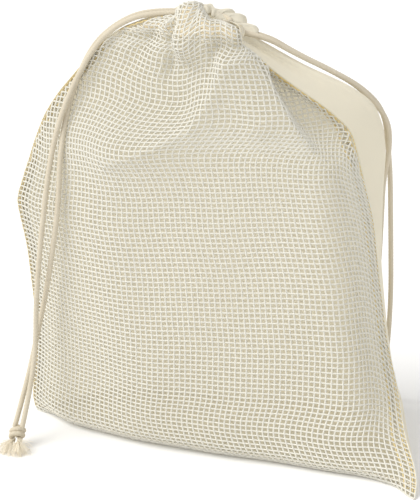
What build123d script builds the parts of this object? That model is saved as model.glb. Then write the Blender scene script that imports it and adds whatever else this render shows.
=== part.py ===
"""Mesh laundry bag: a net front and a plain cotton back, sewn together round three sides, standing full.

Frame in millimetres: the floor is z = 0, +Z up, -Y the net front, +X the right-hand side of the bag.
The neck is drawn in by two cords. Each cord runs right round the casing and leaves it on its own side,
where its two ends hang over the shoulder and are knotted together.
"""
import os
from math import cos, radians, sin, tan

from build123d import *

# ---- driving dimensions -------------------------------------------------------------------------
WALL = 1.5  # cloth with the air in its folds
FOLD = 0.3  # part of each run left to the rounding of a corner

# Plan outline of the filled bag at each height. In order: left seam, left flap, front-left edge,
# front-right edge, right seam, right flank, back-right edge, back-left edge.
OUTLINES = {
    0: [(-156, 28), (-122, -1), (-56, -24), (128, -54), (164, -81), (155, 14), (116, 76), (-106, 76)],
    10: [(-159, 28), (-124, -3), (-54, -28), (128, -54), (162, -74), (156, 18), (120, 78), (-108, 79)],
    32: [(-157, 27), (-118, -3), (-52, -32), (125, -50), (156, -36), (153, 28), (123, 80), (-106, 81)],
    55: [(-155, 27), (-117, -2), (-57, -33), (120, -46), (148, -10), (147, 32), (125, 81), (-104, 81)],
    95: [(-153, 26), (-117, -3), (-66, -32), (113, -40), (134, 8), (141, 36), (124, 78), (-102, 80)],
    150: [(-157, 25), (-119, -4), (-75, -28), (104, -34), (125, 14), (135, 38), (121, 74), (-100, 78)],
    190: [(-164, 24), (-123, -3), (-80, -24), (95, -28), (121, 14), (133, 36), (118, 71), (-98, 74)],
    240: [(-147, 24), (-117, -1), (-84, -19), (87, -23), (110, 11), (130, 34), (112, 64), (-92, 68)],
    262: [(-137, 24), (-105, 2), (-72, -14), (70, -20), (105, 8), (127, 32), (106, 59), (-80, 62)],
    280: [(-123, 23), (-91, 4), (-56, -10), (52, -18), (86, 4), (119, 29), (94, 54), (-68, 56)],
    296: [(-103, 22), (-73, 5), (-42, -7), (40, -15), (62, 2), (96, 27), (74, 48), (-56, 50)],
    309: [(-92, 21), (-59, 4), (-32, -6), (30, -12), (43, 3), (60, 26), (50, 44), (-44, 47)],
    318: [(-82, 20), (-49, 2), (-24, -7), (18, -10), (32, 4), (42, 22), (34, 41), (-32, 45)],
    325: [(-70, 19), (-40, 2), (-20, -7), (8, -8), (23, 4), (29, 21), (20, 39), (-24, 44)],
    329: [(-32, 18), (-26, 1), (-13, -8), (6, -8), (18, 1), (24, 18), (10, 42), (-18, 42)],
}
LEFT_SEAM, RIGHT_SEAM = 0, 4  # places of the two seams in each outline

SEAM_DEPTH = 7.0  # seam allowance turned into the bag
SEAM_THICK = 1.6  # two hems of cloth pressed together
SEAM_TOP = 309  # the side allowances end below the gathers
BOTTOM_SEAM_HEIGHT = 8.0

NECK_X, NECK_Y = -4.0, 18.0
CASING_BOTTOM, CASING_TOP = 329.0, 351.0
CASING_RADIUS = 28.0
MOUTH_RADIUS = 12.0  # opening left in the drawn neck
CHANNEL_RADIUS = 20.5  # centre line of the drawcord channel
CHANNEL_WIDTH, CHANNEL_WALL = 7.0, 1.6
SLIT_WIDTH = 13.0  # gap between the two casings where a pair of cord ends comes out

CORD = 4.0  # cord diameter
CORD_SPACING = 5.6  # centre to centre of the two ends in a slit
LEFT_CORD_Z, RIGHT_CORD_Z = 346.5, 334.0
RUN_END_ANGLE = 18.0  # the channel run stops this far short of its slit
HINGE_GAP = 2.3  # clear space left round the ball end of a hanging strand

THREAD = 0.7
STITCH_ANGLE, STITCH_PITCH = 5.0, 8.0  # degrees round the neck
STITCH_EDGE = 25.0  # first stitch, in degrees from the slit
TACK_WIDTH, TACK_HEIGHT, TACK_THICK = 1.6, 12.0, 0.7
TACK_INSET = 1.5

KNOT_RADIUS = 7.5
TASSEL_ROOT, TASSEL_TIP = 2.2, 4.4

# Cord routes from the inner end in the slit to the shoulder, and from the shoulder to the knot.
# The last point of an upper route and the first of its tail give the straight run the shoulder is on.
LEFT_FRONT_UPPER = [(-18, 15.2, 346.5), (-50, 15.2, 347), (-78, 14.5, 335.5), (-98, 13, 314)]
LEFT_FRONT_TAIL = [
    (-118, 4, 272), (-126.5, -6, 235), (-131, -12, 197), (-136, -15, 157), (-140, -16, 118),
    (-141.5, -17, 79), (-145.5, -27, 42), (-150.5, -38, 14),
]
LEFT_REAR_UPPER = [(-18, 20.8, 346.5), (-50, 20.8, 348), (-78, 20, 336.5), (-100, 19, 315)]
LEFT_REAR_TAIL = [
    (-116, 10.6, 271), (-118.5, -7, 237), (-120, -11, 198), (-126, -12, 160), (-134.5, -6, 121),
    (-144, -5, 82), (-150, -17, 48), (-157, -35, 15),
]
LEFT_KNOT = (-154, -40, 9.5)
LEFT_TASSEL_ENDS = [(-161, -54, 4.8), (-147, -55, 4.8)]

RIGHT_FRONT_UPPER = [(10, 15.2, 334), (34, 16, 332), (60, 23, 316.5), (86, 31, 303), (108, 39, 289)]
RIGHT_FRONT_TAIL = [
    (130, 47, 264), (132.5, 56, 238), (128, 64, 208), (127.5, 73, 176), (127, 80, 142),
    (126, 85, 106), (126, 89, 70), (125.5, 92, 38), (124.5, 95, 14),
]
RIGHT_REAR_UPPER = [(10, 20.8, 334), (34, 22, 332), (60, 30, 315), (86, 37.5, 301.5), (111, 46, 286)]
RIGHT_REAR_TAIL = [
    (127, 52, 267), (130.5, 62, 238), (133, 71, 212), (134.5, 78, 178), (136, 83, 143),
    (137.5, 86, 108), (137.5, 88.5, 74), (136, 91.5, 42), (133, 95, 15),
]
RIGHT_KNOT = (128.5, 97, 9.5)
RIGHT_TASSEL_ENDS = [(124, 111, 4.8), (137, 110, 4.8)]


# ---- cloth --------------------------------------------------------------------------------------
def inset(outline, depth):
    """The closed outline moved into the bag by depth, with mitred corners."""
    points = [Vector(*p) for p in outline]
    moved = []
    for before, here, after in zip(points[-1:] + points[:-1], points, points[1:] + points[:1]):
        into, out = (here - before).normalized(), (after - here).normalized()
        inward = (Vector(-into.Y, into.X) + Vector(-out.Y, out.X)).normalized()
        moved.append(here + inward * (depth / inward.dot(Vector(-out.Y, out.X))))
    return moved


def rounded_path(points, z):
    """Straight runs joined by tangent arcs through points at height z."""
    path = [Vector(p.X, p.Y, z) for p in points]
    return FilletPolyline(*path, radius=corner_radii(path, FOLD))


def corner_radii(points, share):
    """One radius for each inner point: the arc takes up share of the shorter run beside it."""
    radii = []
    for before, here, after in zip(points, points[1:], points[2:]):
        into, out = here - before, after - here
        turn = radians(into.get_angle(out))
        radii.append(share * min(into.length, out.length) / tan(turn / 2))
    return radii


def band(outline, z, first, last, near, far):
    """Flat face between two depths of the outline, from its point first round to its point last."""
    order = [i % len(outline) for i in range(first, last + 1)]
    outer = rounded_path([inset(outline, near)[i] for i in order], z)
    inner = rounded_path([inset(outline, far)[i] for i in order], z)
    ends = [Line(outer @ 0, inner @ 0), Line(outer @ 1, inner @ 1)]
    return make_face(Wire(outer.edges() + inner.edges() + ends))


def panel(first, last):
    """One side of the bag, from seam to seam and from the floor to the neck."""
    return loft([band(outline, z, first, last, 0, WALL) for z, outline in OUTLINES.items()], ruled=True)


def base_plate():
    """The cloth under the load: it reaches forward to the bottom seam."""
    front = rounded_path(inset(OUTLINES[0], 1.5 * WALL)[: RIGHT_SEAM + 1], 0)
    middle = [Vector(p.X, p.Y) for p in inset(OUTLINES[0], WALL / 2)[RIGHT_SEAM + 1 :]]
    back = rounded_path([front @ 1, *middle, front @ 0], 0)
    return extrude(make_face(Wire(front.edges() + back.edges())), WALL)


def side_seam(corner):
    """Allowance strip that follows one side seam up the inside of the bag."""
    sections = []
    for z, outline in OUTLINES.items():
        if not WALL < z <= SEAM_TOP:
            continue
        root = inset(outline, WALL)[corner]
        inward = (root - Vector(*outline[corner])).normalized()
        across = Vector(-inward.Y, inward.X) * (SEAM_THICK / 2)
        near, far = root + inward * SEAM_THICK, root + inward * SEAM_DEPTH
        corners = [near - across, far - across, far + across, near + across]
        sections.append(make_face(Polyline(*[Vector(p.X, p.Y, z) for p in corners], close=True)))
    return loft(sections, ruled=True)


def bottom_seam():
    """Allowance strip that stands on the base behind the foot of the net."""
    near, far = 1.5 * WALL, 1.5 * WALL + SEAM_THICK
    foot = band(OUTLINES[0], WALL, LEFT_SEAM, RIGHT_SEAM, near, far)
    top = band(OUTLINES[10], WALL + BOTTOM_SEAM_HEIGHT, LEFT_SEAM, RIGHT_SEAM, near, far)
    return loft([foot, top], ruled=True)


# ---- neck ---------------------------------------------------------------------------------------
def at_neck(shape):
    return Pos(NECK_X, NECK_Y, 0) * shape


def ring(inner, outer, bottom, top):
    profile = Plane.XZ * Pos((inner + outer) / 2, (bottom + top) / 2) * Rectangle(outer - inner, top - bottom)
    return revolve(profile, Axis.Z)


def casing(side):
    """Half of the gathered hem round the neck, with the drawcord channel in it. side is -1 at the front."""
    hem = ring(MOUTH_RADIUS, CASING_RADIUS, CASING_BOTTOM, CASING_TOP)
    inner, outer = CHANNEL_RADIUS - CHANNEL_WIDTH / 2, CHANNEL_RADIUS + CHANNEL_WIDTH / 2
    hem -= ring(inner, outer, CASING_BOTTOM + CHANNEL_WALL, CASING_TOP - CHANNEL_WALL)
    size = 2 * CASING_RADIUS
    half = Pos(0, side * (size + SLIT_WIDTH) / 2, CASING_BOTTOM) * Box(size, size, size)
    return at_neck(hem & half)


def channel_run(z, slit_angle):
    """The hidden part of one cord, from its slit right round the neck and back."""
    section = Plane.XZ * Pos(CHANNEL_RADIUS, z) * Circle(CORD / 2)
    run = revolve(section, Axis.Z, revolution_arc=360 - 2 * RUN_END_ANGLE)
    return at_neck(Rot(0, 0, slit_angle + RUN_END_ANGLE) * run)


def casing_stitching(side):
    """Row of stitches near the lower edge of one casing."""
    row = []
    radius, z = CASING_RADIUS + THREAD / 2, CASING_BOTTOM + 3 * THREAD
    section = Plane.XZ * Pos(radius, z) * Circle(THREAD / 2)
    stitch = revolve(section, Axis.Z, revolution_arc=STITCH_ANGLE)
    angle = STITCH_EDGE
    while angle + STITCH_ANGLE <= 180 - STITCH_EDGE:
        row.append(at_neck(Rot(0, 0, angle + (180 if side < 0 else 0)) * stitch))
        angle += STITCH_PITCH
    return Compound(row)


def bar_tacks(side):
    """The two dense bars that lock the casing hems beside one slit. side is -1 on the left."""
    tacks = []
    for end in (-1, 1):
        offset = end * (SLIT_WIDTH / 2 + TACK_INSET + TACK_WIDTH / 2)
        reach = side * (CASING_RADIUS**2 - offset**2) ** 0.5
        height = (CASING_BOTTOM + CASING_TOP) / 2
        block = Box(TACK_THICK, TACK_WIDTH, TACK_HEIGHT)
        tacks.append(at_neck(Pos(reach + side * TACK_THICK, offset, height) * block))
    return Compound(tacks)


# ---- cords --------------------------------------------------------------------------------------
def tube(points, name):
    path = FilletPolyline(*points, radius=corner_radii(points, 0.45))
    solid = sweep(Plane(path @ 0, z_dir=path % 0) * Circle(CORD / 2), path=path)
    radii = [round(r) for r in corner_radii(points, 0.45)]
    expected = path.length * Circle(CORD / 2).area
    print(f"{name}: length {path.length:.1f}, radii {radii}, volume ratio {solid.volume / expected:.4f}")
    return solid


def strand(upper, tail, name):
    """One cord end cut at the shoulder: the stretch over the shoulder, and the tail with its ball end."""
    above, below = [Vector(*p) for p in upper], [Vector(*p) for p in tail]
    shoulder = (above[-1] + below[0]) / 2
    along = (below[0] - above[-1]).normalized()
    fixed = tube(above + [shoulder - along * HINGE_GAP], f"{name} upper")
    hanging = tube([shoulder] + below, f"{name} tail") + Pos(*shoulder) * Sphere(CORD / 2)
    return fixed, hanging


def tassel(knot, end):
    """Frayed end as a cone that widens away from the knot."""
    root, tip = Vector(*knot), Vector(*end)
    along = (tip - root).normalized()
    start = root + along * KNOT_RADIUS
    narrow = Plane(start, z_dir=along) * Circle(TASSEL_ROOT)
    wide = Plane(tip, z_dir=along) * Circle(TASSEL_TIP)
    return loft([narrow, wide])


def cord_pair(side, z, slit_angle, uppers, tails, knot, tassel_ends):
    """Every piece of one drawcord."""
    pieces = {f"{side}_cord_channel_run": channel_run(z, slit_angle)}
    for place, upper, tail, end in zip(("front", "rear"), uppers, tails, tassel_ends):
        fixed, hanging = strand(upper, tail, f"{side} {place}")
        pieces[f"{side}_cord_{place}_strand"] = fixed
        pieces[f"{side}_tail_{place}_strand"] = hanging
        pieces[f"{side}_{place}_tassel"] = tassel(knot, end)
    pieces[f"{side}_knot"] = Pos(*knot) * Sphere(KNOT_RADIUS)
    return pieces


# ---- the bag, in assembly order -----------------------------------------------------------------
nodes = {
    "front_mesh_panel": panel(LEFT_SEAM, RIGHT_SEAM),
    "back_panel": panel(RIGHT_SEAM, RIGHT_SEAM + 4) + base_plate(),
    "left_side_seam": side_seam(LEFT_SEAM),
    "right_side_seam": side_seam(RIGHT_SEAM),
    "bottom_seam": bottom_seam(),
    "front_casing": casing(-1),
    "back_casing": casing(1),
    "front_casing_stitching": casing_stitching(-1),
    "back_casing_stitching": casing_stitching(1),
    "left_bar_tacks": bar_tacks(-1),
    "right_bar_tacks": bar_tacks(1),
}
nodes |= cord_pair(
    "left", LEFT_CORD_Z, 180, (LEFT_FRONT_UPPER, LEFT_REAR_UPPER), (LEFT_FRONT_TAIL, LEFT_REAR_TAIL),
    LEFT_KNOT, LEFT_TASSEL_ENDS,
)
nodes |= cord_pair(
    "right", RIGHT_CORD_Z, 0, (RIGHT_FRONT_UPPER, RIGHT_REAR_UPPER), (RIGHT_FRONT_TAIL, RIGHT_REAR_TAIL),
    RIGHT_KNOT, RIGHT_TASSEL_ENDS,
)

os.makedirs("parts", exist_ok=True)
for name, shape in nodes.items():
    shape.label = name
    export_step(shape, f"parts/{name}.step")
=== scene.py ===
"""A mesh laundry bag, standing full: net front, plain cotton back, drawn neck and two knotted drawcords.

Cloth and cord shapes are given in millimetres and become metres when a mesh is made.
"""

from math import cos, pi, radians, sin

import bpy
import numpy as np
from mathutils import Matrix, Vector


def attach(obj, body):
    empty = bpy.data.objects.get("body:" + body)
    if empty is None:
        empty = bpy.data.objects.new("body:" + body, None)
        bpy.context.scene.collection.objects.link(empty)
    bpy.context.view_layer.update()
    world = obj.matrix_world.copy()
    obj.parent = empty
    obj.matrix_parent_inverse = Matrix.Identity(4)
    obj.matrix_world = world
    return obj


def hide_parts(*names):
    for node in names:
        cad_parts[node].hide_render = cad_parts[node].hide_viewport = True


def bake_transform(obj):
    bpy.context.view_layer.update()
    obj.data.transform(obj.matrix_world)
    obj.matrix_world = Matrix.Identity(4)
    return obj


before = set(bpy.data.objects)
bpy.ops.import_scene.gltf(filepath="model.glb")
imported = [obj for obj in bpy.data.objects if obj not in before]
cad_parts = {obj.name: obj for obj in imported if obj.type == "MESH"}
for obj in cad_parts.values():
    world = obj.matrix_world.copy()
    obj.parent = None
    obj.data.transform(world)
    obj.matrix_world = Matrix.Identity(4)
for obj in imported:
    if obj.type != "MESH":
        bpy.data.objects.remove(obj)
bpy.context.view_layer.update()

# ---- Camera ---------------------------------------------------------------------------------------
# One long lens from in front, a little to the right and above. It is aimed at the middle of the bag
# and stands far enough back that the bag fills the frame.
CAMERA_AZIMUTH, CAMERA_HEIGHT_ANGLE = radians(9), radians(20)
CAMERA_DISTANCE, CAMERA_LENS = 1.15, 103.5
CAMERA_TARGET = Vector((-0.006, 0.024, 0.155))
camera_data = bpy.data.cameras.new("camera")
camera_data.lens = CAMERA_LENS
camera = bpy.data.objects.new("camera", camera_data)
bpy.context.collection.objects.link(camera)
towards_camera = Vector(
    (
        sin(CAMERA_AZIMUTH) * cos(CAMERA_HEIGHT_ANGLE),
        -cos(CAMERA_AZIMUTH) * cos(CAMERA_HEIGHT_ANGLE),
        sin(CAMERA_HEIGHT_ANGLE),
    )
)
camera.location = CAMERA_TARGET + towards_camera * CAMERA_DISTANCE
camera.rotation_euler = towards_camera.to_track_quat("Z", "Y").to_euler()
bpy.context.scene.camera = camera
bpy.context.scene.view_settings.view_transform = "Standard"

# ---- Studio ---------------------------------------------------------------------------------------
# A matt white floor that runs far behind the bag, a white surround, and one broad soft light from the
# upper left.
SURROUND_STRENGTH = 0.72
KEY_STRENGTH, KEY_ANGLE = 2.15, radians(40)
KEY_COLOUR = (1.0, 0.985, 0.95)
KEY_DIRECTION = Vector((-0.58, -0.30, 0.80))
FLOOR_HALF = 40.0
FLOOR_WHITE = (0.955, 0.955, 0.955, 1.0)
world = bpy.data.worlds.new("surround")
world.use_nodes = True
world.node_tree.nodes["Background"].inputs["Color"].default_value = (1.0, 1.0, 1.0, 1.0)
world.node_tree.nodes["Background"].inputs["Strength"].default_value = SURROUND_STRENGTH
bpy.context.scene.world = world

sun_data = bpy.data.lights.new("key_light", "SUN")
sun_data.energy, sun_data.angle, sun_data.color = KEY_STRENGTH, KEY_ANGLE, KEY_COLOUR
sun = bpy.data.objects.new("key_light", sun_data)
sun.rotation_euler = KEY_DIRECTION.to_track_quat("Z", "Y").to_euler()
bpy.context.collection.objects.link(sun)

floor_corners = [(x * FLOOR_HALF, y * FLOOR_HALF, 0) for x, y in ((-1, -1), (1, -1), (1, 1), (-1, 1))]
floor_mesh = bpy.data.meshes.new("floor")
floor_mesh.from_pydata(floor_corners, [], [(0, 1, 2, 3)])
floor_paint = bpy.data.materials.new("floor_paint")
floor_paint.use_nodes = True
floor_finish = floor_paint.node_tree.nodes["Principled BSDF"].inputs
floor_finish["Base Color"].default_value = FLOOR_WHITE
floor_finish["Roughness"].default_value = 0.9
floor_finish["Specular IOR Level"].default_value = 0.25
floor_mesh.materials.append(floor_paint)
floor = bpy.data.objects.new("floor", floor_mesh)
bpy.context.collection.objects.link(floor)

# ---- Net front ------------------------------------------------------------------------------------
# One panel of open net of undyed cotton, sewn down both sides and along the foot. Its upright and level
# yarns are laid one by one over the shape that the full bag takes, over and under each other.
# The outlines give that shape: at each height, eight corners round the bag from the left seam.
OUTLINES = {
    0: [(-156, 28), (-122, -1), (-56, -24), (128, -54), (166, -76), (155, 14), (116, 76), (-106, 76)],
    10: [(-159, 28), (-124, -3), (-54, -28), (128, -54), (168, -67), (156, 18), (120, 78), (-108, 79)],
    20: [(-158, 27), (-121, -3), (-53, -30), (127, -52), (164, -54), (155, 23), (121, 78), (-107, 80)],
    32: [(-157, 27), (-118, -3), (-52, -32), (125, -50), (156, -36), (153, 28), (123, 80), (-106, 81)],
    55: [(-155, 27), (-117, -2), (-57, -33), (120, -46), (149, -8), (144, 32), (125, 81), (-104, 81)],
    95: [(-153, 26), (-117, -3), (-66, -32), (113, -40), (137, 10), (137, 36), (124, 78), (-102, 80)],
    150: [(-157, 25), (-119, -4), (-75, -28), (104, -34), (128, 16), (130, 38), (121, 74), (-100, 78)],
    190: [(-164, 24), (-123, -3), (-80, -24), (95, -28), (123, 15), (130, 36), (118, 71), (-98, 74)],
    240: [(-147, 24), (-117, -1), (-84, -19), (87, -23), (110, 11), (130, 34), (112, 64), (-92, 68)],
    262: [(-138, 24), (-105, 2), (-72, -14), (70, -20), (105, 8), (127, 32), (106, 59), (-80, 62)],
    280: [(-126, 23), (-91, 4), (-56, -10), (52, -18), (86, 4), (119, 29), (94, 54), (-68, 56)],
    296: [(-112, 22), (-73, 5), (-42, -7), (40, -15), (62, 2), (96, 27), (74, 48), (-56, 50)],
    309: [(-101, 21), (-59, 4), (-32, -6), (30, -12), (43, 3), (60, 26), (50, 44), (-44, 47)],
    318: [(-94, 20), (-49, 2), (-24, -7), (18, -10), (32, 4), (42, 22), (34, 41), (-32, 45)],
    325: [(-86, 19), (-40, 2), (-20, -7), (8, -8), (23, 4), (29, 21), (20, 39), (-24, 44)],
    329: [(-80, 18), (-26, 1), (-13, -8), (6, -8), (18, 1), (24, 18), (10, 42), (-18, 42)],
}
NECK_HEIGHT = 329
NECK = np.array([-4.0, 18.0])
RIGHT_SEAM, SHARP_CORNER = 4, 5  # the corners with the right-hand seam and the right-hand edge of the cotton
CORNER_SHARE, EDGE_SHARE = 0.32, 0.1  # how much of a run a bend takes up, and one at that sharp edge
SHAPE_SOFTNESS = 5.0  # millimetres of height over which the outlines melt into each other
CLOTH_COLUMNS = 480
NET_COLUMNS, NET_ROWS = 77, 108
YARN_RADIUS = 0.73
YARN_WAVE = 0.2  # how far a yarn rises over and dips under the ones it crosses
UNEVENNESS = 0.06  # how far a crossing strays from its place
heights = np.arange(0.0, NECK_HEIGHT + 1)


def melted(track, softness):
    """A track of values smoothed along its length, with its ends held."""
    reach = int(3 * softness)
    weights = np.exp(-0.5 * (np.arange(-reach, reach + 1) / softness) ** 2)
    weights /= weights.sum()
    before = 2 * track[0] - track[reach:0:-1]
    after = 2 * track[-1] - track[-2 : -reach - 2 : -1]
    return np.convolve(np.concatenate([before, track, after]), weights, mode="valid")


def outline_tracks(corners):
    """The chosen outline corners at every millimetre of height, as an array of height, corner, x and y."""
    keys = np.array(sorted(OUTLINES), float)
    table = np.array([[OUTLINES[k][c] for c in corners] for k in sorted(OUTLINES)], float)
    tracks = np.zeros((len(heights), len(corners), 2))
    for c in range(len(corners)):
        for axis in range(2):
            tracks[:, c, axis] = melted(np.interp(heights, keys, table[:, c, axis]), SHAPE_SOFTNESS)
    return tracks


def spaced_evenly(line, count):
    """The line again, with count points at equal distances."""
    step = np.linalg.norm(np.diff(line, axis=0), axis=1)
    along = np.concatenate([[0], np.cumsum(step)])
    wanted = np.linspace(0, along[-1], count)
    return np.stack([np.interp(wanted, along, line[:, k]) for k in range(line.shape[1])], axis=1)


def rounded(corners, shares):
    """Straight runs joined by bends that take up a share of the shorter run beside each corner."""
    line = [corners[0]]
    for before, here, after, share in zip(corners, corners[1:], corners[2:], shares):
        into, out = here - before, after - here
        reach = share * min(np.linalg.norm(into), np.linalg.norm(out))
        start, end = here - into / np.linalg.norm(into) * reach, here + out / np.linalg.norm(out) * reach
        for t in np.linspace(0, 1, 9):
            line.append((1 - t) ** 2 * start + 2 * t * (1 - t) * here + t * t * end)
    line.append(corners[-1])
    return np.array(line)


def wall(corners, columns):
    """Points of one side of the bag: at each millimetre of height, evenly round from seam to seam."""
    tracks = outline_tracks(corners)
    shares = [EDGE_SHARE if c == SHARP_CORNER else CORNER_SHARE for c in corners[1:-1]]
    return np.array([spaced_evenly(rounded(level, shares), columns) for level in tracks])


def outward(points):
    """Level directions out of the bag at each point of a wall."""
    along = np.gradient(points, axis=1)
    out = np.stack([along[..., 1], -along[..., 0]], axis=-1)
    return out / np.maximum(np.linalg.norm(out, axis=-1, keepdims=True), 1e-9)


def ease(value, low, high):
    """A smooth rise from 0 at the low value to 1 at the high one."""
    t = np.clip((value - low) / (high - low), 0, 1)
    return t * t * (3 - 2 * t)


def distance_to_line(x, z, line):
    """Distance in the front view from points to a line, and which side they are on."""
    best, side = np.full(x.shape, 1e9), np.zeros(x.shape)
    for (ax, az), (bx, bz) in zip(line, line[1:]):
        dx, dz = bx - ax, bz - az
        t = np.clip(((x - ax) * dx + (z - az) * dz) / (dx * dx + dz * dz), 0, 1)
        gap = np.hypot(x - ax - t * dx, z - az - t * dz)
        nearer = gap < best
        best = np.where(nearer, gap, best)
        side = np.where(nearer, np.sign((x - ax) * dz - (z - az) * dx), side)
    return best, side


# Where the gathers run, in x and height, with how deep and how wide each one is.
NECK_GATHERS = [
    ([(-31, 354), (-31, 334), (-33, 316), (-37, 292)], 8, 5.0),
    ([(-12, 354), (-11, 342), (-12, 334)], 6, 3.0),
    ([(5, 354), (6, 338), (3, 322), (0, 306)], 6, 4.0),
    ([(-42, 342), (-54, 323), (-72, 300)], 5, 6.0),
    ([(14, 352), (15, 342), (15, 334)], 4, 2.5),
    ([(-8, 334), (-12, 325), (-20, 318), (-28, 320), (-33, 326)], 7, 3.0),
]
LONG_RIDGE = [(12, 318), (4, 296), (-14, 268), (-50, 249), (-80, 236)]
RIDGE_HEIGHT, RIDGE_ABOVE, RIDGE_BELOW = 12.0, 10.0, 20.0  # it falls off faster on one side
MAIN_FOLD = [(12, 342), (17, 322), (24, 300), (38, 276)]
FOLD_HEIGHT, FOLD_WIDTH = 5.0, 14.0
FOLD_EDGE = [(14, 352), (20, 341), (28, 331), (42, 303), (67, 267), (84, 248)]
EDGE_LIP, EDGE_WIDTH = 5.0, 14.0
EDGE_HOLLOW, HOLLOW_REACH = 19.0, 10.0  # the hollow beyond the fold's edge
RIDGE_FROM, EDGE_FROM = (225, 258), (240, 275)  # the heights over which these two grow
SWELLS = [
    ((-19, 330), (13, 9), 11.0),
    ((-21, 309), (14, 8), -6.0),
    ((-24, 288), (14, 16), -5.0),
    ((-50, 282), (28, 22), -9.0),
]
LOAD_SWELL, LOAD_RIPPLE = 0.8, 0.35  # soft waves a few centimetres long, where the load presses on the net
FOOT_CURL, CURL_HEIGHT = 8.0, 16.0  # how far the foot of the net turns in under the bag
SEAM_HOLD, CURL_HOLD = 0.03, 0.07  # how much of the width beside a seam stays flat


def bump_at(x, z, middle, reach):
    """A round swell in the front view, 1 at its middle."""
    return np.exp(-(((x - middle[0]) / reach[0]) ** 2) - ((z - middle[1]) / reach[1]) ** 2)


def fold_front(points, z):
    """The gathers and the few long folds that the drawn neck throws into the net."""
    x = points[..., 0]
    u = np.broadcast_to(np.linspace(0, 1, points.shape[1]), x.shape)
    push = np.zeros(x.shape)
    for line, depth, width in NECK_GATHERS:
        gap, _ = distance_to_line(x, z, line)
        push -= depth * np.exp(-((gap / width) ** 2)) * ease(z, line[-1][1] - 6, line[-1][1] + 22)
    gap, side = distance_to_line(x, z, LONG_RIDGE)
    push += RIDGE_HEIGHT * np.exp(-gap / np.where(side > 0, RIDGE_ABOVE, RIDGE_BELOW)) * ease(z, *RIDGE_FROM)
    gap, _ = distance_to_line(x, z, MAIN_FOLD)
    push += FOLD_HEIGHT * np.exp(-((gap / FOLD_WIDTH) ** 2))
    gap, side = distance_to_line(x, z, FOLD_EDGE)
    near = np.tanh(gap / 1.5) * np.exp(-gap / EDGE_WIDTH)
    away = gap / HOLLOW_REACH * np.exp(1 - gap / HOLLOW_REACH)
    push += np.where(side > 0, EDGE_LIP * near, -EDGE_HOLLOW * away) * ease(z, *EDGE_FROM)
    for middle, reach, height in SWELLS:
        push += height * bump_at(x, z, middle, reach)
    swell = LOAD_SWELL * np.sin(x / 27 + z / 41) * np.sin(z / 43 - x / 60)
    push += swell + LOAD_RIPPLE * np.sin(x / 13 - z / 29 + 1)
    seamward = ease(np.minimum(u, 1 - u), 0, SEAM_HOLD)
    curl = np.clip(1 - z / CURL_HEIGHT, 0, 1) ** 2 * ease(np.minimum(u, 1 - u), 0, CURL_HOLD)
    push = push * seamward - FOOT_CURL * curl
    return points + outward(points) * push[..., None]


# The rim of the casing, in x and height, and how the cloth climbs to it and turns down into the mouth:
# the share of the climb, and the share of the neck's size.
RIM = [
    (-48, 346), (-36, 351), (-27, 355.5), (-16, 354), (-8, 350),
    (0, 346), (8, 345.5), (17, 342.5), (26, 336),
]
RIM_CLIMB = [
    (0.0, 1.0), (0.3, 1.06), (0.6, 1.06), (0.82, 1.0),
    (0.95, 0.86), (1.0, 0.7), (0.98, 0.5), (0.8, 0.32),
]
RIM_LEVELS = 36
FRONT_RIM_LIFT, BACK_RIM_LIFT = 2.5, -5.0
HIGHEST_GATHER, GATHER_REACH = -22, 15
SLIT_HALF, SLIT_OPENS, SLIT_CLOSES = 6.0, (0, 0.75), (0.7, 1.0)
CASING_LEFT, CASING_DRAW = -31.0, 0.86  # where the casing is drawn in at its left, and by how much


def with_casing(points, slit_way):
    """The wall with the casing above it, open in a slit at each end: up, over the rim and into the mouth."""
    z = np.broadcast_to(heights[:, None], points.shape[:2])
    top = points[-1]
    rim = np.interp(top[:, 0], *zip(*RIM))
    lift = FRONT_RIM_LIFT if slit_way < 0 else BACK_RIM_LIFT
    rim += lift * np.exp(-(((top[:, 0] - HIGHEST_GATHER) / GATHER_REACH) ** 2))
    climb, shrink = np.array(RIM_CLIMB).T
    step = np.linspace(0, 1, RIM_LEVELS)[1:]
    at = np.linspace(0, 1, len(climb))
    layers, layer_heights = [], []
    for s in step:
        rise, scale = np.interp(s, at, climb), np.interp(s, at, shrink)
        layer = NECK + (top - NECK) * scale
        layer[:, 0] += np.maximum(CASING_LEFT - top[:, 0], 0) * CASING_DRAW * min(rise, 1.0) * scale
        layer[:, 1] += slit_way * SLIT_HALF * ease(rise, *SLIT_OPENS) * (1 - ease(s, *SLIT_CLOSES))
        layers.append(layer)
        layer_heights.append(NECK_HEIGHT + (rim - NECK_HEIGHT) * rise)
    return np.concatenate([points, layers]), np.concatenate([z, layer_heights])


CELL, ROW_PITCH = 4.35, 3.95  # from one upright yarn to the next, and from one level yarn to the next
MIDDLE_AT_NECK = -7.0
GATHER_HEIGHTS, CROWDED_HEIGHTS = (240, 310), (225, 275)
LEAN = 17.0  # how far the long ridge carries the upright yarns to the left
LEAN_MIDDLE, LEAN_REACH = (-62, 250), (55, 30)
ROW_SKEW = 12.0  # how much further up the level yarns are at the right than at the left
FRONT_LENGTH = 360  # up the net from its foot to the neck, along the cloth


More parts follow.
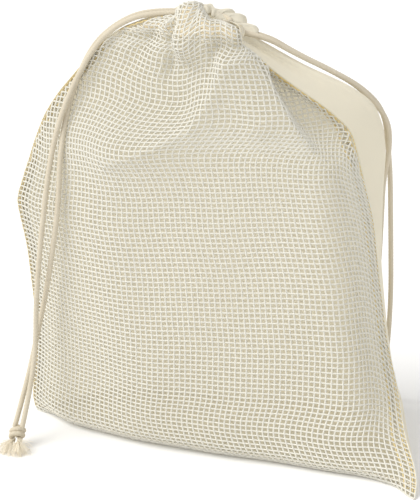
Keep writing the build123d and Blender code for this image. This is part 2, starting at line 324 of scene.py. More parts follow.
def upright_yarns(points, z):
    """The courses of the net's upright yarns: at their own spacing round each level, and down to the side
    seams where the neck leaves no room for them, as the spare cloth is folded away there."""
    courses = np.full((len(points), NET_COLUMNS, 3), np.nan)
    number = np.arange(NET_COLUMNS) - (NET_COLUMNS - 1) / 2
    for k, (level, level_z) in enumerate(zip(points, z)):
        flat_height = float(np.median(level_z))
        step = np.linalg.norm(np.diff(np.column_stack([level, level_z]), axis=0), axis=1)
        along = np.concatenate([[0], np.cumsum(step)])
        even = along[-1] / (NET_COLUMNS - 1)
        gathered = ease(flat_height, *GATHER_HEIGHTS)
        middle = along[-1] / 2 * (1 - gathered) + np.interp(MIDDLE_AT_NECK, level[:, 0], along) * gathered
        cell = even + (max(even, CELL) - even) * ease(flat_height, *CROWDED_HEIGHTS)
        at = middle + number * cell
        x = np.interp(at, along, level[:, 0])
        lean = LEAN * bump_at(x, flat_height, LEAN_MIDDLE, LEAN_REACH)
        at = at - lean * np.sin(pi * np.clip(at / along[-1], 0, 1))
        inside = (at >= -0.01) & (at <= along[-1] + 0.01)
        plan = [np.interp(at, along, level[:, axis]) for axis in range(2)]
        course = np.column_stack([*plan, np.interp(at, along, level_z)])
        courses[k, inside] = course[inside]
    return courses


def net_crossings(courses, lowest):
    """Where the level yarns cross the upright ones: at the net's own pitch up every course."""
    grid = np.full((NET_ROWS, NET_COLUMNS, 3), np.nan)
    for i in range(NET_COLUMNS):
        course = courses[:, i][~np.isnan(courses[:, i, 0])]
        course[:, 2] = np.maximum(course[:, 2], lowest)
        along = np.concatenate([[0], np.cumsum(np.linalg.norm(np.diff(course, axis=0), axis=1))])
        at = np.arange(NET_ROWS) * ROW_PITCH
        share = np.clip(at / FRONT_LENGTH, 0, 1)
        at = at + ROW_SKEW * (2 * i / (NET_COLUMNS - 1) - 1) * np.sin(pi * share) ** 2
        inside = at <= along[-1]
        for axis in range(3):
            grid[inside, i, axis] = np.interp(at[inside], along, course[:, axis])
    return grid


def normals_of(grid):
    """Directions square to a grid of points, out of the bag."""
    up, across = np.gradient(grid, axis=0), np.gradient(grid, axis=1)
    n = np.cross(across, up)
    return n / np.maximum(np.linalg.norm(n, axis=-1, keepdims=True), 1e-9)


MM = 0.001


def path_mesh(name, lines):
    """A mesh of edges only, one chain for each line of points in millimetres."""
    vertices, edges = [], []
    for line in lines:
        first = len(vertices)
        vertices += [tuple(p) for p in np.asarray(line) * MM]
        edges += [(first + k, first + k + 1) for k in range(len(line) - 1)]
    mesh = bpy.data.meshes.new(name)
    mesh.from_pydata(vertices, edges, [])
    return mesh


class Value:
    """A shader socket that takes part in sums, so that a pattern is written as an expression."""

    def __init__(self, graph, socket):
        self.graph, self.socket = graph, socket

    def maths(self, operation, *others):
        node = self.graph.node("ShaderNodeMath", {"operation": operation}, dict(enumerate((self, *others))))
        return node["Value"]

    def __add__(self, other):
        return self.maths("ADD", other)

    def __mul__(self, other):
        return self.maths("MULTIPLY", other)

    def __sub__(self, other):
        return self.maths("SUBTRACT", other)

    def __rsub__(self, other):
        return self.graph.node("ShaderNodeMath", {"operation": "SUBTRACT"}, {0: other, 1: self})["Value"]

    __radd__, __rmul__ = __add__, __mul__

    def sine(self):
        return self.maths("SINE")


class Graph:
    """Makes the nodes of one shader or geometry tree."""

    def __init__(self, tree):
        self.tree = tree

    def node(self, kind, settings=None, inputs=None):
        made = self.tree.nodes.new(kind)
        for key, setting in (settings or {}).items():
            setattr(made, key, setting)
        for key, given in (inputs or {}).items():
            socket = made.inputs[key]
            if isinstance(given, Value):
                self.tree.links.new(given.socket, socket)
            else:
                socket.default_value = given
        return {out.name: Value(self, out) for out in reversed(made.outputs)}


def yarn_tree():
    """Geometry nodes that lay a round yarn along every chain of edges."""
    tree = bpy.data.node_groups.new("lay_yarns", "GeometryNodeTree")
    face = tree.interface
    face.new_socket("Paths", in_out="INPUT", socket_type="NodeSocketGeometry")
    face.new_socket("Yarn Radius", in_out="INPUT", socket_type="NodeSocketFloat")
    face.new_socket("Yarn Sides", in_out="INPUT", socket_type="NodeSocketInt")
    face.new_socket("Finish", in_out="INPUT", socket_type="NodeSocketMaterial")
    face.new_socket("Yarns", in_out="OUTPUT", socket_type="NodeSocketGeometry")
    graph = Graph(tree)
    given = graph.node("NodeGroupInput")
    curves = graph.node("GeometryNodeMeshToCurve", {}, {0: given["Paths"]})["Curve"]
    ring = graph.node(
        "GeometryNodeCurvePrimitiveCircle",
        {},
        {"Resolution": given["Yarn Sides"], "Radius": given["Yarn Radius"]},
    )["Curve"]
    tubes = graph.node(
        "GeometryNodeCurveToMesh", {}, {"Curve": curves, "Profile Curve": ring, "Fill Caps": True}
    )["Mesh"]
    smooth = graph.node("GeometryNodeSetShadeSmooth", {}, {0: tubes})["Geometry"]
    real = graph.node("GeometryNodeRealizeInstances", {}, {0: smooth})["Geometry"]
    finished = graph.node("GeometryNodeSetMaterial", {}, {0: real, "Material": given["Finish"]})["Geometry"]
    graph.node("NodeGroupOutput", {}, {0: finished})
    return tree


def grown(name, mesh, tree, **inputs):
    """The plain mesh that a geometry tree makes from a starting mesh, as a new object."""
    seed = bpy.data.objects.new(name + "_seed", mesh)
    bpy.context.collection.objects.link(seed)
    modifier = seed.modifiers.new("grow", "NODES")
    modifier.node_group = tree
    names = {s.name: s.identifier for s in tree.interface.items_tree if s.in_out == "INPUT"}
    for key, setting in inputs.items():
        modifier[names[key.replace("_", " ")]] = setting
    seed.update_tag()
    bpy.context.view_layer.update()
    made = bpy.data.meshes.new_from_object(seed.evaluated_get(bpy.context.evaluated_depsgraph_get()))
    seed.modifiers.remove(modifier)
    bpy.data.objects.remove(seed)
    piece = bpy.data.objects.new(name, made)
    made.name = name
    bpy.context.collection.objects.link(piece)
    return piece


lay_yarns = yarn_tree()
front_wall, front_z = with_casing(wall([0, 1, 2, 3, RIGHT_SEAM], CLOTH_COLUMNS), -1)
front_wall = fold_front(front_wall, front_z)

front_grid = net_crossings(upright_yarns(front_wall, front_z), YARN_RADIUS + YARN_WAVE)
there = ~np.isnan(front_grid[..., 0])
front_normals = np.nan_to_num(normals_of(front_grid))
shake = np.random.default_rng(7)
front_grid[1:] += shake.normal(0, UNEVENNESS, front_grid[1:].shape)
odd = np.add.outer(np.arange(NET_ROWS), np.arange(NET_COLUMNS)) % 2
over = np.where(odd, YARN_WAVE, -YARN_WAVE)[..., None]
upright = front_grid + front_normals * over
level = front_grid - front_normals * over


def unbroken(line, here):
    """The stretches of a line whose points are there."""
    ends = np.flatnonzero(np.diff(np.concatenate([[0], here.astype(int), [0]])))
    return [line[a:b] for a, b in zip(ends[::2], ends[1::2]) if b - a > 1]


def cotton(
    name, pale, deep, roughness, fibre_scale, fibre_depth, patch_scale=18.0, weave=None, sheer=0.0, painted_glow=0.0
):
    """Undyed cotton: patches between a pale and a deep tone, fibres or a weave raised on the surface, and
    where the cloth is thin, a share of the light from behind it. A painted glow in its own pale colour
    lightens it as if it were lit more."""
    made = bpy.data.materials.new(name)
    made.use_nodes = True
    graph = Graph(made.node_tree)
    shader = made.node_tree.nodes["Principled BSDF"]
    place = graph.node("ShaderNodeTexCoord")["Object"]
    patches = graph.node(
        "ShaderNodeTexNoise", {}, {"Vector": place, "Scale": patch_scale, "Detail": 3.0, "Roughness": 0.6}
    )["Fac"]
    fibres = graph.node(
        "ShaderNodeTexNoise", {}, {"Vector": place, "Scale": fibre_scale, "Detail": 4.0, "Roughness": 0.7}
    )["Fac"]
    tone = patches * 0.6 + fibres * 0.4
    mix = graph.node("ShaderNodeMix", {"data_type": "RGBA"}, {"Factor": tone, 6: (*deep, 1), 7: (*pale, 1)})
    colour = Value(graph, mix["Result"].socket.node.outputs[2])
    raised = fibres
    if weave:
        threads = graph.node("ShaderNodeUVMap")["UV"]
        apart = graph.node("ShaderNodeSeparateXYZ", {}, {0: threads})
        across, along = apart["X"] * (2 * pi / weave), apart["Y"] * (2 * pi / weave)
        crossing = (across * 0.5).sine() * (along * 0.5).sine()
        raised = across.sine() * 0.5 + along.sine() * 0.5 + crossing * 0.3 + fibres * 1.5
    bump = graph.node(
        "ShaderNodeBump", {}, {"Height": raised, "Strength": 0.6, "Distance": fibre_depth}
    )["Normal"]
    made.node_tree.links.new(colour.socket, shader.inputs["Base Color"])
    made.node_tree.links.new(bump.socket, shader.inputs["Normal"])
    shader.inputs["Roughness"].default_value = roughness
    shader.inputs["Specular IOR Level"].default_value = 0.25
    # Painted glow: the cloth gives off a little light in its own pale colour, so it looks more lit.
    shader.inputs["Emission Color"].default_value = (*pale, 1)
    shader.inputs["Emission Strength"].default_value = painted_glow
    if sheer:
        middle_tone = [(a + b) / 2 for a, b in zip(pale, deep)]
        through = graph.node("ShaderNodeBsdfTranslucent", {}, {"Color": (*middle_tone, 1)})["BSDF"]
        both = graph.node("ShaderNodeMixShader", {}, {0: sheer, 2: through})["Shader"]
        made.node_tree.links.new(shader.outputs[0], both.socket.node.inputs[1])
        made.node_tree.links.new(both.socket, made.node_tree.nodes["Material Output"].inputs["Surface"])
    return made


# The net's yarns carry a faint painted glow that lightens them.
net_cotton = cotton(
    "net_cotton", (0.85, 0.835, 0.77), (0.82, 0.795, 0.71), roughness=0.85,
    fibre_scale=900.0, fibre_depth=0.0002, sheer=0.2, painted_glow=0.04,
)
net_lines = []
for i in range(NET_COLUMNS):
    net_lines += unbroken(upright[:, i], there[:, i])
for j in range(NET_ROWS):
    net_lines += unbroken(level[j], there[j])
front_net = grown(
    "front_net", path_mesh("net_paths", net_lines), lay_yarns,
    Yarn_Radius=YARN_RADIUS * MM, Yarn_Sides=5, Finish=net_cotton,
)
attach(front_net, "bag")
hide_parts("front_mesh_panel", "front_casing")

# ---- Casing hem of the net ------------------------------------------------------------------------
# Above the neck the net is turned in and down again, so a second layer of it lies just inside the
# first, in the shade of the gathers. Its yarns carry painted shade, a warmer and deeper tone than the
# net's, and a strong painted glow that lightens them.
HEM_GAP = 3.2
HEM_FROM = NECK_HEIGHT + 4  # where the turned-in edge ends
# Painted shade and painted glow: a warm ochre copy of the net's cotton that gives off light of its own.
hem_net_painted_shade_glow = cotton(
    "hem_net_painted_shade_glow", (0.94, 0.89, 0.76), (0.92, 0.82, 0.60), roughness=0.85,
    fibre_scale=900.0, fibre_depth=0.0002, sheer=0.3, painted_glow=0.2,
)
inside = front_grid - front_normals * HEM_GAP
hem_grid = inside[:, :-1] * 0.5 + inside[:, 1:] * 0.5
hem_here = there[:, :-1] & there[:, 1:] & (np.nan_to_num(hem_grid[..., 2]) > HEM_FROM)
hem_lines = []
for i in range(NET_COLUMNS - 1):
    hem_lines += unbroken(hem_grid[:, i], hem_here[:, i])
for j in range(NET_ROWS):
    hem_lines += unbroken(hem_grid[j], hem_here[j])
net_hem = grown(
    "net_hem", path_mesh("hem_paths", hem_lines), lay_yarns,
    Yarn_Radius=YARN_RADIUS * MM, Yarn_Sides=5, Finish=hem_net_painted_shade_glow,
)
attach(net_hem, "bag")

# ---- Plain back -----------------------------------------------------------------------------------
# One panel of thin plain-weave cotton of the same cut as the net. It covers the base under the load,
# then rises behind it, and comes round the right-hand side to meet the net.
BACK_COLUMNS, BACK_ROWS, BASE_ROWS = 170, 180, 24
CLOTH_THICK, THREAD_PAIR = 0.5, 0.0008
SHEET_CLEAR = 0.6  # the middle of the base cloth above the floor
BASE_INSET = 1.5  # how far inside the net the base cloth starts
PLEATS = [(9, 0.5, 0.7), (15, 2.0, 0.4)]  # how many there are round the back, where they start, how deep
PLEATS_HIGH, PLEATS_LOW = 4.0, 1.2  # they are deep at the neck and die out below it
WRINKLE, RIPPLE = 1.1, 0.5
BACK_HOLD = 0.04
REACH_FROM = 0.6  # from this share of a column up, its rows close up or spread to end at the rim
# The plain cotton carries a painted glow that lightens it, most of all inside the bag where the net's holes
# show it.
plain_cotton = cotton(
    "plain_cotton", (0.86, 0.83, 0.735), (0.82, 0.78, 0.67), roughness=0.9,
    fibre_scale=1400.0, fibre_depth=0.0001, weave=THREAD_PAIR, sheer=0.42, painted_glow=0.165,
)


def fold_back(points, z):
    """Gathers behind the neck and soft wrinkles below them."""
    x = points[..., 0]
    u = np.broadcast_to(np.linspace(0, 1, points.shape[1]), x.shape)
    gathers = sum(depth * np.sin(2 * pi * count * u + start) for count, start, depth in PLEATS)
    push = PLEATS_HIGH * gathers * ease(z, 290, NECK_HEIGHT) + PLEATS_LOW * gathers * ease(z, 250, 300)
    push += WRINKLE * np.sin(x / 21 + z / 43) * np.sin(z / 29 + x / 57) + RIPPLE * np.sin(x / 9 + z / 14)
    push = push * ease(np.minimum(u, 1 - u), 0, BACK_HOLD)
    return points + outward(points) * push[..., None]


def respaced(points, z, columns):
    """The wall again with its columns spaced evenly along each level."""
    whole = [spaced_evenly(np.column_stack([level, level_z]), columns) for level, level_z in zip(points, z)]
    whole = np.array(whole)
    return whole[..., :2], whole[..., 2]


def rows_of(points, z, rows, lowest):
    """Points of a wall at equal lengths up each of its columns: an array of row, column and x, y, z."""
    columns = points.shape[1]
    lines = [np.column_stack([points[:, i], np.maximum(z[:, i], lowest)]) for i in range(columns)]
    lengths = [np.concatenate([[0], np.cumsum(np.linalg.norm(np.diff(n, axis=0), axis=1))]) for n in lines]
    usual = np.mean([along[-1] for along in lengths])
    grid = np.zeros((rows, columns, 3))
    share = np.linspace(0, 1, rows)
    for i, (line, along) in enumerate(zip(lines, lengths)):
        reach = usual + (along[-1] - usual) * ease(share, REACH_FROM, 1.0)
        for axis in range(3):
            grid[:, i, axis] = np.interp(share * reach, along, line[:, axis])
    return grid


def sheet_mesh(name, grid, material):
    """A sheet of quads over a grid of points in millimetres, with its UV map in metres of cloth."""
    rows, columns = grid.shape[:2]
    mesh = bpy.data.meshes.new(name)
    faces = []
    for j in range(rows - 1):
        for i in range(columns - 1):
            a, b = j * columns + i, j * columns + i + 1
            faces.append((a, b, b + columns, a + columns))
    mesh.from_pydata([tuple(p) for p in grid.reshape(-1, 3) * MM], [], faces)
    across = np.concatenate([[0], np.cumsum(np.linalg.norm(np.diff(grid, axis=1), axis=2).mean(0))]) * MM
    along = np.concatenate([[0], np.cumsum(np.linalg.norm(np.diff(grid, axis=0), axis=2).mean(1))]) * MM
    loops = np.array([loop.vertex_index for loop in mesh.loops])
    uv = mesh.uv_layers.new(name="cloth")
    uv.data.foreach_set("uv", np.column_stack([across[loops % columns], along[loops // columns]]).ravel())
    mesh.polygons.foreach_set("use_smooth", [True] * len(mesh.polygons))
    mesh.materials.append(material)
    piece = bpy.data.objects.new(name, mesh)
    bpy.context.collection.objects.link(piece)
    return piece


def thicken(piece, thickness):
    """Turn a sheet into cloth of a real thickness, half of it on each side."""
    solid = piece.modifiers.new("thickness", "SOLIDIFY")
    solid.thickness, solid.offset = thickness * MM, 0.0
    made = bpy.data.meshes.new_from_object(piece.evaluated_get(bpy.context.evaluated_depsgraph_get()))
    piece.modifiers.remove(solid)
    made.name = piece.name
    piece.data = made


back_wall, back_z = with_casing(wall([RIGHT_SEAM, 5, 6, 7, 0], CLOTH_COLUMNS), 1)
back_wall, back_z = respaced(fold_back(back_wall, back_z), back_z, BACK_COLUMNS)
back_grid = rows_of(back_wall, back_z, BACK_ROWS, SHEET_CLEAR)
foot = spaced_evenly((front_wall[0] - BASE_INSET * outward(front_wall)[0])[::-1], BACK_COLUMNS)
base_rows = []
for t in np.linspace(0, 1, BASE_ROWS)[:-1]:
    level_row = foot * (1 - t) + back_grid[0, :, :2] * t
    base_rows.append(np.column_stack([level_row, np.full(BACK_COLUMNS, SHEET_CLEAR)]))
back_cloth = sheet_mesh("back_cloth", np.concatenate([np.array(base_rows), back_grid]), plain_cotton)
thicken(back_cloth, CLOTH_THICK)
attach(back_cloth, "bag")
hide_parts("back_panel", "back_casing")

# ---- Side and bottom seams ------------------------------------------------------------------------
# Net and cotton are sewn together inside out, so a narrow doubled edge of net lies inside each seam.
# A yellow cotton thread runs over that edge in an overlock, and a row of stitches holds it flat.
ALLOWANCE = 8.0
SEAM_THREAD = 0.42
OVERLOCK_PITCH, EDGE_PITCH = 1.7, 4.2
SEAM_FROM, SEAM_TO = 4, NECK_HEIGHT - 6
# The overlock's inner and outer edge beside the seam, and how far under the net it lies.
OVERLOCK_BANDS = {"left": (1.0, ALLOWANCE, -1.1), "right": (2.5, ALLOWANCE + 3.0, -0.2)}
EDGE_YARNS, EDGE_DEPTH = (3.0, 5.5, ALLOWANCE), -2.2
FOOT_STITCHES, FOOT_LOW, FOOT_HIGH, FOOT_DEPTH = 210, 2, 8, -1.2
thread_cotton = cotton(
    "thread_cotton", (0.86, 0.70, 0.34), (0.74, 0.57, 0.24), roughness=0.7,
    fibre_scale=900.0, fibre_depth=0.0001,
)
pale_thread = cotton(
    "pale_thread", (0.86, 0.82, 0.71), (0.78, 0.72, 0.60), roughness=0.7,
    fibre_scale=900.0, fibre_depth=0.0001,
)


def beside_seam(right, distance, lift, climb):
    """Points a set distance from a side seam, on or under the net, at the heights given."""
    out = outward(front_wall)
    line = []
    for k in np.clip(np.round(climb).astype(int), 0, NECK_HEIGHT):
        level, way = (front_wall[k][::-1], out[k][::-1]) if right else (front_wall[k], out[k])
        along = np.concatenate([[0], np.cumsum(np.linalg.norm(np.diff(level, axis=0), axis=1))])
        spot = [np.interp(distance, along, level[:, a] + way[:, a] * lift) for a in range(2)]
        line.append((*spot, k))
    return np.array(line)


def stitch_tree():
    """Geometry nodes that sew single stitches at an even pitch along every chain of edges."""
    tree = bpy.data.node_groups.new("sew_stitches", "GeometryNodeTree")
    face = tree.interface
    face.new_socket("Paths", in_out="INPUT", socket_type="NodeSocketGeometry")
    face.new_socket("Pitch", in_out="INPUT", socket_type="NodeSocketFloat")
    face.new_socket("Stitch Length", in_out="INPUT", socket_type="NodeSocketFloat")
    face.new_socket("Thread Radius", in_out="INPUT", socket_type="NodeSocketFloat")
    face.new_socket("Finish", in_out="INPUT", socket_type="NodeSocketMaterial")
    face.new_socket("Stitches", in_out="OUTPUT", socket_type="NodeSocketGeometry")
    graph = Graph(tree)
    given = graph.node("NodeGroupInput")
    curves = graph.node("GeometryNodeMeshToCurve", {}, {0: given["Paths"]})["Curve"]
    spots = graph.node(
        "GeometryNodeCurveToPoints", {"mode": "LENGTH"}, {0: curves, "Length": given["Pitch"]}
    )
    turned = graph.node("FunctionNodeAlignRotationToVector", {"axis": "X"}, {"Vector": spots["Tangent"]})
    end = graph.node("ShaderNodeCombineXYZ", {}, {0: given["Stitch Length"]})["Vector"]
    line = graph.node("GeometryNodeCurvePrimitiveLine", {}, {"End": end})["Curve"]
    ring = graph.node(
        "GeometryNodeCurvePrimitiveCircle", {}, {"Resolution": 6, "Radius": given["Thread Radius"]}
    )["Curve"]
    tube = graph.node(
        "GeometryNodeCurveToMesh", {}, {"Curve": line, "Profile Curve": ring, "Fill Caps": True}
    )["Mesh"]
    smooth = graph.node("GeometryNodeSetShadeSmooth", {}, {0: tube})["Geometry"]
    placed = graph.node(
        "GeometryNodeInstanceOnPoints",
        {},
        {"Points": spots["Points"], "Instance": smooth, "Rotation": turned["Rotation"]},
    )["Instances"]
    real = graph.node("GeometryNodeRealizeInstances", {}, {0: placed})["Geometry"]
    finished = graph.node("GeometryNodeSetMaterial", {}, {0: real, "Material": given["Finish"]})["Geometry"]
    graph.node("NodeGroupOutput", {}, {0: finished})
    return tree


sew_stitches = stitch_tree()


def zigzag(near, far):
    """A thread that goes to and fro between two lines of points."""
    return np.array([near[k] if k % 2 else far[k] for k in range(min(len(near), len(far)))])


def sewn(name, lines, replaced, finish=thread_cotton):
    """Thread laid along lines of points, as a piece of the bag."""
    piece = grown(
        name, path_mesh(name + "_paths", lines), lay_yarns,
        Yarn_Radius=SEAM_THREAD * MM, Yarn_Sides=5, Finish=finish,
    )
    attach(piece, "bag")
    if replaced:
        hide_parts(replaced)


def stitched(name, lines, replaced=None, finish=thread_cotton, pitch=3.2, length=2.2, radius=0.3):
    """A row of single stitches along lines of points, as a piece of the bag."""
    piece = grown(
        name, path_mesh(name + "_paths", lines), sew_stitches,
        Pitch=pitch * MM, Stitch_Length=length * MM, Thread_Radius=radius * MM, Finish=finish,
    )
    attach(piece, "bag")
    if replaced:
        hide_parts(replaced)


for side, right in (("left", False), ("right", True)):
    fine = np.arange(SEAM_FROM, SEAM_TO, OVERLOCK_PITCH)
    coarse = np.arange(SEAM_FROM, SEAM_TO, EDGE_PITCH)
    inner, outer, depth = OVERLOCK_BANDS[side]
    over_edge = zigzag(beside_seam(right, inner, depth, fine), beside_seam(right, outer, depth, fine))
    rails = [beside_seam(right, d, depth, fine) for d in (inner + 0.4, outer - 0.6)]
    sewn(f"{side}_overlock", [over_edge, *rails], f"{side}_side_seam")
    edge_lines = [beside_seam(right, d, EDGE_DEPTH, fine) for d in EDGE_YARNS]
    near = beside_seam(right, 0.6, EDGE_DEPTH, coarse)
    far = beside_seam(right, ALLOWANCE + 0.8, EDGE_DEPTH, coarse)
    edge_lines += [np.array([a, b]) for a, b in zip(near, far)]
    edge = grown(
        f"{side}_doubled_edge", path_mesh("edge_paths", edge_lines), lay_yarns,
        Yarn_Radius=YARN_RADIUS * MM, Yarn_Sides=5, Finish=net_cotton,
    )
    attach(edge, "bag")
    stitched(f"{side}_seam_stitches", [beside_seam(right, 0.7, 0.5, fine)])


def along_foot(height, lift):
    """Points along the foot of the net at one height, but not at its two ends."""
    level, way = front_wall[height], outward(front_wall)[height]
    return np.column_stack([level + way * lift, np.full(len(level), height)])[4:-4]


low = spaced_evenly(along_foot(FOOT_LOW, FOOT_DEPTH), FOOT_STITCHES)
high = spaced_evenly(along_foot(FOOT_HIGH, FOOT_DEPTH), FOOT_STITCHES)
sewn("bottom_overlock", [zigzag(low, high), high], "bottom_seam", pale_thread)
stitched("bottom_seam_stitches", [along_foot(FOOT_HIGH, YARN_RADIUS + 0.2)], None, pale_thread)

# ---- Casing ---------------------------------------------------------------------------------------
# The top edge of each panel is turned in and stitched down to make a tunnel for the cords. The tunnel
# is open at both side seams, and small bar tacks stop the openings from tearing.
CASING_ROW = NECK_HEIGHT + 3
TACK_LEVELS = range(NECK_HEIGHT + 2, NECK_HEIGHT + 18)
TACK_SHARE = 0.0245  # how much of a panel's width a tack covers


def casing_row(points, z, lift):
    """Points along a panel's lower casing edge, but not at its two ends."""
    return np.column_stack([points[CASING_ROW] + outward(points)[CASING_ROW] * lift, z[CASING_ROW]])[3:-3]


front_row, back_row = casing_row(front_wall, front_z, 1.0), casing_row(back_wall, back_z, 0.6)
stitched("front_casing_stitches", [front_row], "front_casing_stitching", pale_thread)
stitched("back_casing_stitches", [back_row], "back_casing_stitching", pale_thread)


def tack(points, z, end):
    """A short dense zigzag up the edge of a slit."""
    inner = round(TACK_SHARE * points.shape[1])
    columns = (1, inner) if end == 0 else (-2, -1 - inner)
    turn = [[(*points[r, c], z[r, c]) for r in TACK_LEVELS] for c in columns]
    return zigzag(np.array(turn[0]), np.array(turn[1]))


sewn("left_slit_tacks", [tack(front_wall, front_z, 0), tack(back_wall, back_z, 1)], "left_bar_tacks")
sewn("right_slit_tacks", [tack(front_wall, front_z, 1), tack(back_wall, back_z, 0)], "right_bar_tacks")

# ---- Drawcords ------------------------------------------------------------------------------------
# Two soft cotton cords, 4 mm thick. Each runs round the neck in the casing and leaves it on its own
# side. Both its ends lie over the shoulder, hang beside the bag and end in one overhand knot.
CORD_RADIUS, CORD_SIDES = 2.15, 20  # the radius is over the ridges of its strands
RING_SPACING = 0.9
CORD_ROUTES = {
    "left_front_cord": [
        (-18, 15.2, 346.5), (-50, 15.2, 347), (-78, 14.5, 335.5), (-98, 13, 314), (-118, 4, 272),
        (-126.5, -6, 235), (-131, -12, 197), (-136, -15, 157), (-140, -16, 118), (-141.5, -17, 79),
        (-145.5, -27, 42), (-150.5, -38, 14),
    ],
    "left_rear_cord": [
        (-18, 20.8, 346.5), (-50, 20.8, 348), (-78, 20, 336.5), (-100, 19, 315), (-116, 10.6, 271),
        (-118.5, -7, 237), (-120, -11, 198), (-126, -12, 160), (-134.5, -6, 121), (-144, -5, 82),
        (-150, -17, 48), (-157, -35, 15),
    ],
    "right_front_cord": [
        (10, 15.2, 334), (34, 16, 332), (60, 23, 316.5), (86, 31, 303), (108, 39, 289), (130, 47, 264),
        (132.5, 56, 238), (128, 64, 208), (127.5, 73, 176), (127, 80, 142), (126, 85, 106),
        (126, 89, 70), (125.5, 92, 38), (124.5, 95, 14),
    ],
    "right_rear_cord": [
        (10, 20.8, 334), (34, 22, 332), (60, 30, 315), (86, 37.5, 301.5), (111, 46, 286), (127, 52, 267),
        (130.5, 62, 238), (133, 71, 212), (134.5, 78, 178), (136, 83, 143), (137.5, 86, 108),
        (137.5, 88.5, 74), (136, 91.5, 42), (133, 95, 15),
    ],
}
SHOULDERS = {"left": (-108, 12, 293), "right": (119, 46, 276.5)}
STRAND_PITCH = 9.0  # one turn of the three strands laid into the cord
STRAND_RELIEF = 0.13
cord_cotton = cotton(
    "cord_cotton", (0.73, 0.67, 0.55), (0.55, 0.48, 0.36), roughness=0.8,
    fibre_scale=1100.0, fibre_depth=0.0003, patch_scale=60.0,
)


def smooth_route(points):
    """Points along the smooth curve that a route's points control."""
    curve = bpy.data.curves.new("route", "CURVE")
    curve.dimensions = "3D"
    spline = curve.splines.new("NURBS")
    spline.points.add(len(points) - 1)
    for control, place in zip(spline.points, points):
        control.co = (*[c * MM for c in place], 1)
    spline.order_u = 3
    spline.use_endpoint_u = True
    spline.resolution_u = 24
    carrier = bpy.data.objects.new("route", curve)
    mesh = bpy.data.meshes.new_from_object(carrier)
    line = np.array([v.co for v in mesh.vertices]) / MM
    bpy.data.objects.remove(carrier)
    bpy.data.curves.remove(curve)
    bpy.data.meshes.remove(mesh)
    return line


def frames_along(line):
    """Two directions square to the line at each point, carried along it without twist."""
    tangent = np.gradient(line, axis=0)
    tangent /= np.linalg.norm(tangent, axis=1, keepdims=True)
    side = np.cross(tangent[0], (0.3, 1.0, 0.2))
    sides = []
    for t in tangent:
        side = side - t * side.dot(t)
        side = side / np.linalg.norm(side)
        sides.append(side)
    sides = np.array(sides)
    return sides, np.cross(tangent, sides)


def laid_tube(name, lines):
    """A closed tube along each line, whose skin shows the three strands twisted into the cord."""
    angle = np.arange(CORD_SIDES) * 2 * pi / CORD_SIDES
    points, faces = [], []
    for line in lines:
        one, two = frames_along(line)
        length = np.concatenate([[0], np.cumsum(np.linalg.norm(np.diff(line, axis=0), axis=1))])
        turn = angle[None, :] - 2 * pi * length[:, None] / STRAND_PITCH
        reach = CORD_RADIUS * (1 - STRAND_RELIEF + STRAND_RELIEF * np.abs(np.cos(1.5 * turn)) ** 0.7)
        ring = one[:, None] * np.cos(angle)[None, :, None] + two[:, None] * np.sin(angle)[None, :, None]
        base = len(points)
        points += list((line[:, None] + ring * reach[..., None]).reshape(-1, 3))
        for k in range(len(line) - 1):
            for a in range(CORD_SIDES):
                b = (a + 1) % CORD_SIDES
                lower, upper = base + k * CORD_SIDES, base + (k + 1) * CORD_SIDES
                faces.append((lower + a, lower + b, upper + b, upper + a))
        first, last, tail = len(points), len(points) + 1, base + (len(line) - 1) * CORD_SIDES
        points += [line[0], line[-1]]
        for a in range(CORD_SIDES):
            b = (a + 1) % CORD_SIDES
            faces += [(first, base + b, base + a), (last, tail + a, tail + b)]
    mesh = bpy.data.meshes.new(name)
    mesh.from_pydata([tuple(p) for p in np.array(points) * MM], [], faces)
    mesh.polygons.foreach_set("use_smooth", [True] * len(mesh.polygons))
    mesh.materials.append(cord_cotton)
    piece = bpy.data.objects.new(name, mesh)
    bpy.context.collection.objects.link(piece)
    return piece


# Each cord is laid as a tube along the smooth curve of its route, with rings at an even spacing.
cord_lines, cords = {}, {}
for side, shoulder in SHOULDERS.items():
    for place in ("front", "rear"):
        name = f"{side}_{place}_cord"
        line = smooth_route(CORD_ROUTES[name])
        line = spaced_evenly(line, int(np.linalg.norm(np.diff(line, axis=0), axis=1).sum() / RING_SPACING))
        cord = laid_tube(name, [line])
        cord_lines[name], cords[name] = line, cord
        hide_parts(f"{side}_cord_{place}_strand", f"{side}_tail_{place}_strand")
        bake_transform(cord)

# The stretch of each cord inside the casing goes once round the neck, higher at its left.
CHANNEL_REACH, CHANNEL_GAP = 14.3, 0.2
CHANNEL_HEIGHTS = {"left": (346.5, 340.5), "right": (339.5, 334.0)}  # at the left and right of the neck
for side, (at_left, at_right) in CHANNEL_HEIGHTS.items():
    start = pi if side == "left" else 0.0
    angle = start + np.linspace(CHANNEL_GAP, 2 * pi - CHANNEL_GAP, 90)
    ring = NECK + CHANNEL_REACH * np.column_stack([np.cos(angle), np.sin(angle)])
    rise = (ring[:, 0] - ring[:, 0].min()) / np.ptp(ring[:, 0])
    ring = np.column_stack([ring, at_left + (at_right - at_left) * rise])
    run = laid_tube(f"{side}_cord_in_casing", [ring])
    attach(run, "bag")
    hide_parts(f"{side}_cord_channel_run")

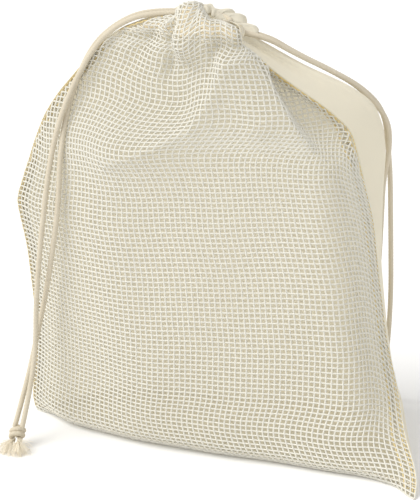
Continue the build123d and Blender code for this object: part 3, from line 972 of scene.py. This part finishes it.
# ---- Knots and frayed ends ------------------------------------------------------------------------
# The two ends on each side are tied together in one overhand knot. Below it the strands of each cord
# have opened into a soft brush of loose cotton fibres.
KNOTS = {"left": (-154, -40, 9.5), "right": (128.5, 97, 9.5)}
TASSELS = {
    "left": {"front": (-161, -54, 4.8), "rear": (-147, -55, 4.8)},
    "right": {"front": (124, 111, 4.8), "rear": (137, 110, 4.8)},
}
KNOT_TURN = [
    (1, 0.5, 6), (4.6, 0, 3.6), (3.2, 4.4, 2.8), (-3.2, 4.4, 2.0), (-5.0, 0, 1.4),
    (-3.2, -4.4, 0.8), (3.2, -4.6, 0.2), (4.8, 0, -1.0), (2.0, 2.0, -3.0),
]
KNOT_LAYS = {"front": (0.0, 0.0), "rear": (2.2, 2.6)}  # how far each cord's turn is rotated and raised
FIBRES, FIBRE_RADIUS = 110, 0.22
FIBRE_SPREAD, FIBRE_CURL = 0.42, 0.9
SHORTEST_FIBRE, LONGEST_FIBRE = 7.0, 12.0
ROOT_DEPTH, ROOT_SPREAD, DROOP, LOWEST = 2.0, 2.4, 2.5, 0.3
# The loose fibres carry a painted glow that lightens them.
fray_cotton = cotton(
    "fray_cotton", (0.95, 0.91, 0.82), (0.88, 0.83, 0.72), roughness=0.85,
    fibre_scale=1500.0, fibre_depth=0.0001, sheer=0.4, painted_glow=0.22,
)
END_SHARE = 0.6  # how much of the way to the brush the solid cord goes
KNOT_DROP = 8  # how much steeper the knot stands than its brushes lie
loose = np.random.default_rng(11)


def knot_line(middle, down, entry, leave, turn, rise):
    """One cord's way through the knot: in at the top, once round, through the middle and out below."""
    down = np.array(down) / np.linalg.norm(down)
    across = np.cross(down, (0.0, 0.0, 1.0) if abs(down[2]) < 0.9 else (0.0, 1.0, 0.0))
    across /= np.linalg.norm(across)
    beyond = np.cross(down, across)
    places = []
    for x, y, z in KNOT_TURN:
        cx, cy = x * cos(turn) - y * sin(turn), x * sin(turn) + y * cos(turn)
        places.append(np.array(middle) + across * cx + beyond * cy - down * (z + rise))
    return smooth_route([tuple(entry)] + [tuple(p) for p in places] + [tuple(leave)])


def fray(name, root, heading):
    """Loose fibres that spread from the cut end of a cord and settle on the floor."""
    heading = np.array(heading) / np.linalg.norm(heading)
    lines = []
    for _ in range(FIBRES):
        spread = loose.normal(0, FIBRE_SPREAD, 3)
        way = heading + spread
        way /= np.linalg.norm(way)
        begin = np.array(root) - heading * ROOT_DEPTH + spread * ROOT_SPREAD
        reach = loose.uniform(SHORTEST_FIBRE, LONGEST_FIBRE)
        curl = loose.normal(0, FIBRE_CURL, 3)
        t = np.linspace(0, 1, 6)[:, None]
        line = begin + way * reach * t + curl * t * t - np.array([0, 0, DROOP]) * t * t
        lines.append(np.maximum(line, (-1e9, -1e9, LOWEST)))
    return grown(
        name, path_mesh(name + "_paths", lines), lay_yarns,
        Yarn_Radius=FIBRE_RADIUS * MM, Yarn_Sides=3, Finish=fray_cotton,
    )


for side, middle in KNOTS.items():
    middle = np.array(middle)
    tips = TASSELS[side]
    down = np.mean(list(tips.values()), axis=0) - middle + (0, 0, -KNOT_DROP)
    ends = {place: middle * (1 - END_SHARE) + np.array(tip) * END_SHARE for place, tip in tips.items()}
    lines = []
    for place, (turn, rise) in KNOT_LAYS.items():
        route = CORD_ROUTES[f"{side}_{place}_cord"]
        lines.append(knot_line(middle, down, route[-1], ends[place], turn, rise))
    knot = laid_tube(f"{side}_overhand_knot", lines)
    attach(knot, f"{side}_tail")
    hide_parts(f"{side}_knot")
    for place, end in ends.items():
        brush = fray(f"{side}_{place}_fray", end, np.array(end) - middle)
        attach(brush, f"{side}_tail")
        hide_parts(f"{side}_{place}_tassel")

# For each cord, what hangs on it is listed, the knot with the front one and its brush with each; the list is
# not used.
for side in SHOULDERS:
    for place in ("front", "rear"):
        cord, line = cords[f"{side}_{place}_cord"], cord_lines[f"{side}_{place}_cord"] * MM
        [f"{side}_overhand_knot"] * (place == "front") + [f"{side}_{place}_fray"]
